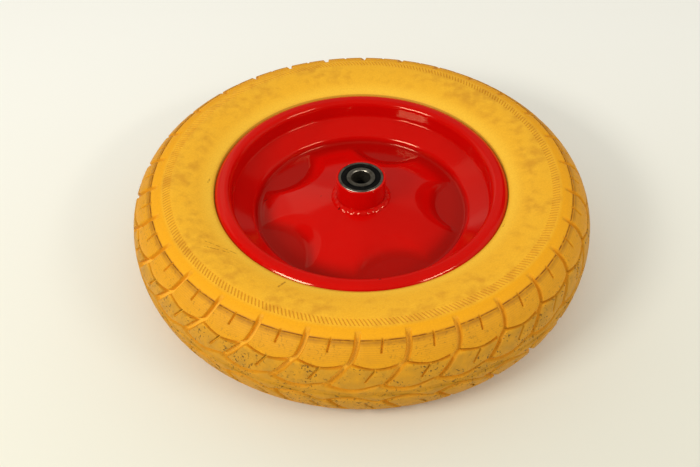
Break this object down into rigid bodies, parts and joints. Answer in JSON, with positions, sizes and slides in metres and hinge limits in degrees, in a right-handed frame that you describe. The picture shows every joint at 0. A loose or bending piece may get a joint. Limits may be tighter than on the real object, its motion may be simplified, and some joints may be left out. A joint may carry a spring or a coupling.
{
  "type": "polyurethane wheel",
  "caption": "Foam-filled barrow wheel: yellow treaded tyre on a red star-pressed steel rim, with a tubular hub on sealed ball bearings.",
  "frame": {"origin": "centre of the wheel, on the axle line midway between the two ends of the hub", "axes": "+Z along the axle and up, with the wheel lying on its lower sidewall as pictured; -Y towards the camera, +X to its right"},
  "size_m": [0.3534, 0.3534, 0.0772],
  "materials": {
    "tyre_foam": "matt moulded skin, dusty and worn",
    "rim_paint": "gloss powder coat",
    "bearing_steel": "ground",
    "ball_steel": "polished",
    "cage_steel": "pressed sheet",
    "seal_rubber": "satin",
    "sleeve_steel": "drawn tube"
  },
  "bodies": {
    "wheel": {"tyre": "tyre_foam", "rim_half_upper": "rim_paint", "rim_half_lower": "rim_paint", "hub_tube": "rim_paint", "weld_bead_upper": "rim_paint", "weld_bead_lower": "rim_paint", "upper_bearing_outer_ring": "bearing_steel", "upper_bearing_seal_outer": "seal_rubber", "upper_bearing_seal_inner": "seal_rubber", "lower_bearing_outer_ring": "bearing_steel", "lower_bearing_seal_outer": "seal_rubber", "lower_bearing_seal_inner": "seal_rubber"},
    "upper_inner": {"upper_bearing_inner_ring": "bearing_steel"},
    "upper_cage": {"upper_bearing_balls": "ball_steel", "upper_bearing_cage_outer_half": "cage_steel", "upper_bearing_cage_inner_half": "cage_steel", "upper_bearing_cage_rivets": "cage_steel"},
    "lower_inner": {"lower_bearing_inner_ring": "bearing_steel", "distance_sleeve": "sleeve_steel"},
    "lower_cage": {"lower_bearing_balls": "ball_steel", "lower_bearing_cage_outer_half": "cage_steel", "lower_bearing_cage_inner_half": "cage_steel", "lower_bearing_cage_rivets": "cage_steel"}
  },
  "joints": [
    {"name": "upper_inner_turn", "type": "hinge", "parent": "wheel", "child": "upper_inner", "pos_m": [0, 0, 0.0285], "axis": [0, 0, 1], "continuous": true},
    {"name": "upper_cage_turn", "type": "hinge", "parent": "wheel", "child": "upper_cage", "pos_m": [0, 0, 0.0285], "axis": [0, 0, 1], "continuous": true},
    {"name": "lower_inner_turn", "type": "hinge", "parent": "wheel", "child": "lower_inner", "pos_m": [0, 0, -0.0285], "axis": [0, 0, 1], "continuous": true},
    {"name": "lower_cage_turn", "type": "hinge", "parent": "wheel", "child": "lower_cage", "pos_m": [0, 0, -0.0285], "axis": [0, 0, 1], "continuous": true}
  ],
  "couplings": [
    {"joint": "upper_cage_turn", "follows": "upper_inner_turn", "ratio": 0.38094},
    {"joint": "lower_cage_turn", "follows": "lower_inner_turn", "ratio": 0.38094}
  ]
}
